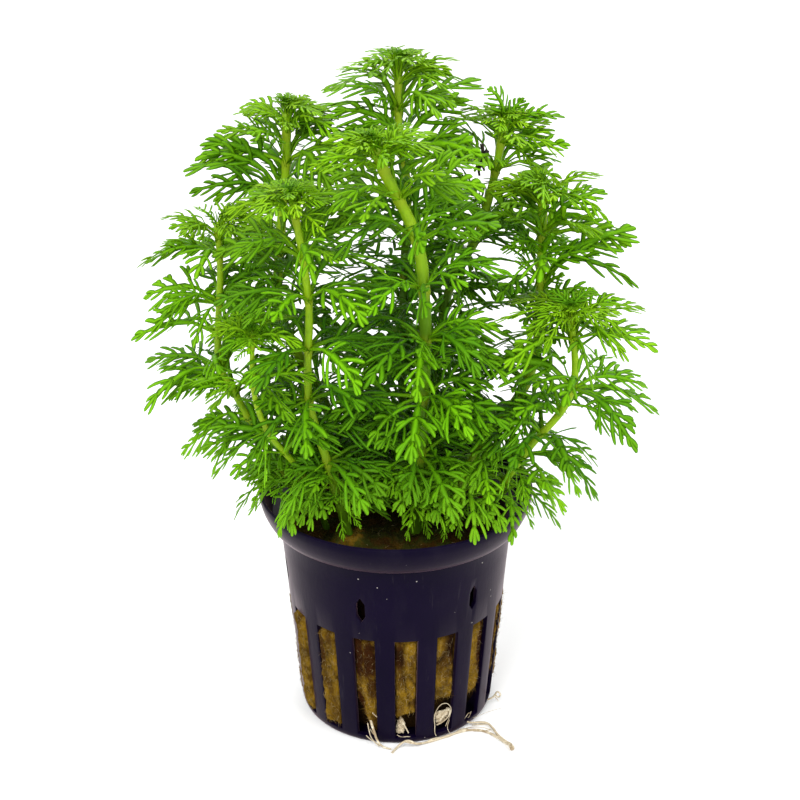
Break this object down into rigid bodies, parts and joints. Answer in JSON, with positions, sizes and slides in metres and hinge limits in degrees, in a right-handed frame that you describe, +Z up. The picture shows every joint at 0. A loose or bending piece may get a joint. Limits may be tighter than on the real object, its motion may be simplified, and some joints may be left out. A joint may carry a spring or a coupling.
{
  "type": "potted aquarium plant",
  "caption": "Ambulia in a plastic net pot: upright shoots with whorls of finely divided leaves grow from a rock wool plug, with pale roots out of the slots.",
  "frame": {"origin": "middle of the pot's flat underside, on the surface that the pot stands on", "axes": "+Z up, along the pot's axis; -Y towards the viewer of the picture; +X to the viewer's right"},
  "size_m": [0.0988, 0.0707, 0.1329],
  "materials": {
    "pot": "satin, dark navy purple moulded plastic, with dust and fine scratches",
    "rock_wool": "matt, fibrous, wet, mustard to dark brown",
    "root": "matt, cream to tan",
    "stem": "smooth, slightly glossy, yellow green",
    "leaf": "smooth, slightly glossy, bright green with paler margins"
  },
  "bodies": {
    "root": {"pot": "pot", "rockwool": "rock_wool", "roots_trailing": "root", "root_front": "root", "shoot_tall_stem": "stem", "shoot_middle_stem": "stem", "shoot_upper_left_stem": "stem", "shoot_front_left_stem": "stem", "shoot_left_stem": "stem", "shoot_upper_right_stem": "stem", "shoot_right_stem": "stem", "shoot_far_right_stem": "stem", "shoot_short_stem": "stem", "shoot_tall_whorl_1": "leaf", "shoot_tall_whorl_2": "leaf", "shoot_tall_whorl_3": "leaf", "shoot_tall_whorl_4": "leaf", "shoot_tall_whorl_5": "leaf", "shoot_tall_whorl_6": "leaf", "shoot_middle_whorl_1": "leaf", "shoot_middle_whorl_2": "leaf", "shoot_middle_whorl_3": "leaf", "shoot_middle_whorl_4": "leaf", "shoot_middle_whorl_5": "leaf", "shoot_middle_whorl_6": "leaf", "shoot_upper_left_whorl_1": "leaf", "shoot_upper_left_whorl_2": "leaf", "shoot_upper_left_whorl_3": "leaf", "shoot_upper_left_whorl_4": "leaf", "shoot_upper_left_whorl_5": "leaf", "shoot_upper_left_whorl_6": "leaf", "shoot_front_left_whorl_1": "leaf", "shoot_front_left_whorl_2": "leaf", "shoot_front_left_whorl_3": "leaf", "shoot_front_left_whorl_4": "leaf", "shoot_front_left_whorl_5": "leaf", "shoot_left_whorl_1": "leaf", "shoot_left_whorl_2": "leaf", "shoot_left_whorl_3": "leaf", "shoot_left_whorl_4": "leaf", "shoot_left_whorl_5": "leaf", "shoot_upper_right_whorl_1": "leaf", "shoot_upper_right_whorl_2": "leaf", "shoot_upper_right_whorl_3": "leaf", "shoot_upper_right_whorl_4": "leaf", "shoot_upper_right_whorl_5": "leaf", "shoot_right_whorl_1": "leaf", "shoot_right_whorl_2": "leaf", "shoot_right_whorl_3": "leaf", "shoot_right_whorl_4": "leaf", "shoot_right_whorl_5": "leaf", "shoot_far_right_whorl_1": "leaf", "shoot_far_right_whorl_2": "leaf", "shoot_far_right_whorl_3": "leaf", "shoot_far_right_whorl_4": "leaf", "shoot_short_whorl_1": "leaf", "shoot_short_whorl_2": "leaf", "shoot_short_whorl_3": "leaf"}
  },
  "joints": []
}
